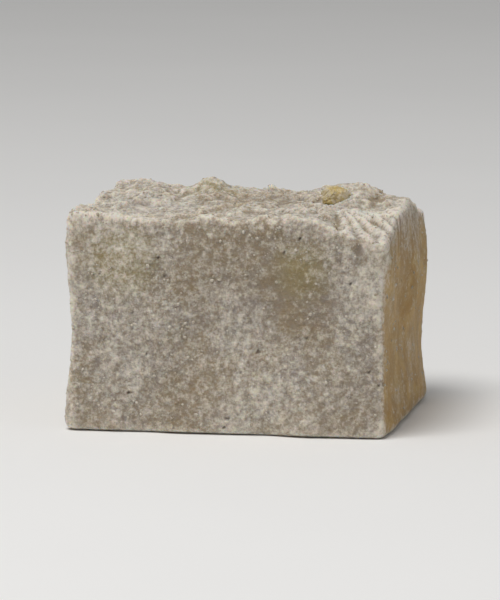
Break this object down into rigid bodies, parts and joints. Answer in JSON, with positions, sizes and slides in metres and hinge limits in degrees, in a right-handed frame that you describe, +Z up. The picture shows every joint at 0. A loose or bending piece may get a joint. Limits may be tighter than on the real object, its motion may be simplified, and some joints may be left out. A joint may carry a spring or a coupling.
{
  "type": "turkish delight cube",
  "caption": "Hand-cut block of nut turkish delight, dusted with starch, with nut pieces breaking its surface and a flat underside to rest on.",
  "frame": {"origin": "on the underside that the block rests on, under the middle of its outline", "axes": "+X along the widest cut face, +Y from that face towards the back of the block, +Z up"},
  "size_m": [0.0316, 0.0258, 0.0221],
  "materials": {
    "starched_jelly": "dry caked starch over translucent amber jelly",
    "pistachio": "cut pistachio flesh, yellow to green, with a thin purple-brown skin",
    "walnut": "wrinkled golden-brown walnut, dusted with starch"
  },
  "bodies": {
    "root": {"jelly_block": "starched_jelly", "nut_top_ridge": "pistachio", "pistachio_left": "pistachio", "walnut_back": "walnut", "pistachio_back": "pistachio"}
  },
  "joints": []
}
